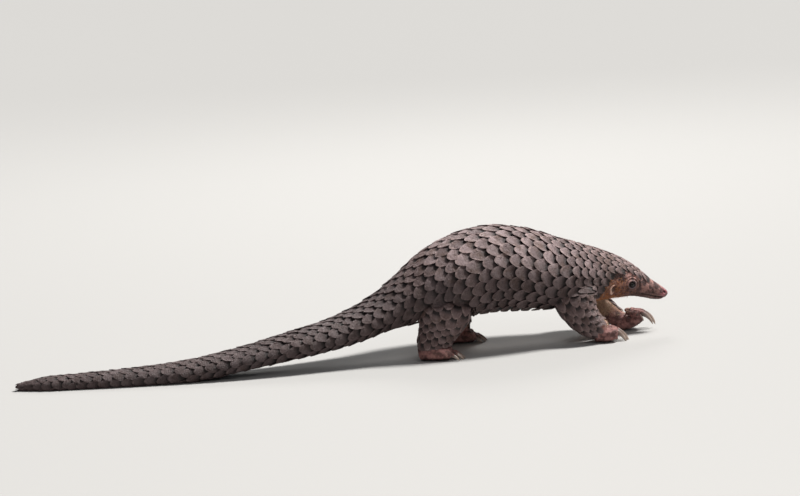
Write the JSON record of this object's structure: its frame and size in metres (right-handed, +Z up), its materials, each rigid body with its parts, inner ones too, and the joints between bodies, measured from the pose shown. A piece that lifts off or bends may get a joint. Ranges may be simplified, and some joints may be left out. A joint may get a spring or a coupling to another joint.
{
  "type": "pangolin",
  "caption": "Walking Sunda pangolin, life size, with overlapping horn scales, low head, clawed feet and a long tail trailing on the ground.",
  "frame": {"origin": "on the floor, under the middle of the animal's box", "axes": "+X towards the nose, +Y to the animal's left, +Z up"},
  "size_m": [0.9236, 0.2235, 0.1723],
  "materials": {
    "scales": "horn scales, grey-brown with paler worn edges",
    "skin": "bare brownish-pink skin, finely wrinkled",
    "hair": "sparse reddish-brown bristly hair",
    "claw": "horn claws, pale amber brown, worn",
    "eye": "wet, almost black"
  },
  "bodies": {
    "root": {"head": "scales", "neck": "scales", "torso": "scales", "tail_base": "scales", "tail_mid": "scales", "tail_tip": "scales", "foreleg_left": "scales", "foreleg_right": "scales", "hindleg_left": "scales", "hindleg_right": "scales", "forepaw_left": "skin", "forepaw_right": "skin", "hindpaw_left": "skin", "hindpaw_right": "skin", "ear_left": "skin", "ear_right": "skin", "eye_left": "eye", "eye_right": "eye"}
  },
  "joints": []
}
